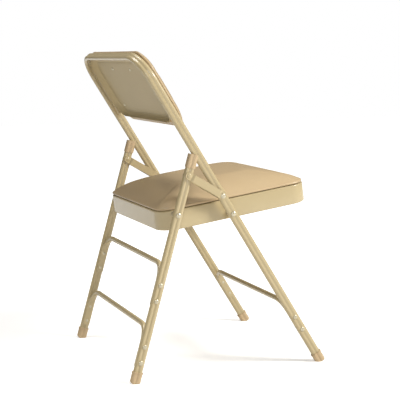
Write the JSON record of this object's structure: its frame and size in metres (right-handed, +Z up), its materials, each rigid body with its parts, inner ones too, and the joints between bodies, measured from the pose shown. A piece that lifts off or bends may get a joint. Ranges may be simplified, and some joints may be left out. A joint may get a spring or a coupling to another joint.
{
  "type": "folding chair",
  "caption": "Steel folding chair with bent tube frame, riveted double hinges, tube braces and padded vinyl seat and back.",
  "frame": {"origin": "on the floor, at the middle of the chair's outline seen from above", "axes": "+Z up, -Y the way the sitter faces, +X to the sitter's left"},
  "size_m": [0.462, 0.5002, 0.7531],
  "materials": {
    "frame_paint": "satin beige powder coat",
    "vinyl": "tan embossed vinyl over foam",
    "cap_plastic": "matt moulded plastic",
    "rivet_steel": "painted or plated rivet steel",
    "board_wood": "raw plywood"
  },
  "bodies": {
    "frame": {"front_frame": "frame_paint", "front_brace": "frame_paint", "front_brace_rivets": "rivet_steel", "front_foot_cap_left": "cap_plastic", "front_foot_cap_right": "cap_plastic", "back_pan": "frame_paint", "back_tabs": "frame_paint", "back_screws": "rivet_steel", "back_board": "board_wood", "back_cushion": "vinyl", "seat_pivot_rivet_left": "rivet_steel", "seat_pivot_rivet_right": "rivet_steel", "link_pivot_rivet_left": "rivet_steel", "link_pivot_rivet_right": "rivet_steel"},
    "seat": {"seat_pan": "frame_paint", "seat_spacers_front": "rivet_steel", "seat_spacers_rear": "rivet_steel", "seat_board": "board_wood", "seat_screws": "rivet_steel", "seat_cushion": "vinyl"},
    "rear_legs": {"rear_leg_left": "frame_paint", "rear_leg_right": "frame_paint", "rear_upper_brace": "frame_paint", "rear_lower_brace": "frame_paint", "rear_upper_rivets": "rivet_steel", "rear_lower_rivets": "rivet_steel", "rear_foot_cap_left": "cap_plastic", "rear_foot_cap_right": "cap_plastic", "rear_top_cap_left": "cap_plastic", "rear_top_cap_right": "cap_plastic", "leg_pivot_rivet_left": "rivet_steel", "leg_pivot_rivet_right": "rivet_steel"},
    "link_left": {"link_outer_left": "frame_paint", "link_inner_left": "frame_paint"},
    "link_right": {"link_outer_right": "frame_paint", "link_inner_right": "frame_paint"}
  },
  "joints": [
    {"name": "seat_fold", "type": "hinge", "parent": "frame", "child": "seat", "pos_m": [0, -0.00378, 0.37876], "axis": [-1, 0, 0], "range_deg": [0, 109]},
    {"name": "rear_leg_fold", "type": "hinge", "parent": "seat", "child": "rear_legs", "pos_m": [0, 0.13294, 0.38238], "axis": [1, 0, 0], "range_deg": [0, 61]},
    {"name": "link_left_fold", "type": "hinge", "parent": "frame", "child": "link_left", "pos_m": [0.218, 0.02377, 0.4225], "axis": [-1, 0, 0], "range_deg": [0, 131.5]},
    {"name": "link_right_fold", "type": "hinge", "parent": "frame", "child": "link_right", "pos_m": [-0.218, 0.02377, 0.4225], "axis": [-1, 0, 0], "range_deg": [0, 131.5]}
  ],
  "couplings": [
    {"joint": "rear_leg_fold", "follows": "seat_fold", "ratio": 0.558},
    {"joint": "link_left_fold", "follows": "seat_fold", "ratio": 1.2055},
    {"joint": "link_right_fold", "follows": "seat_fold", "ratio": 1.2055}
  ]
}
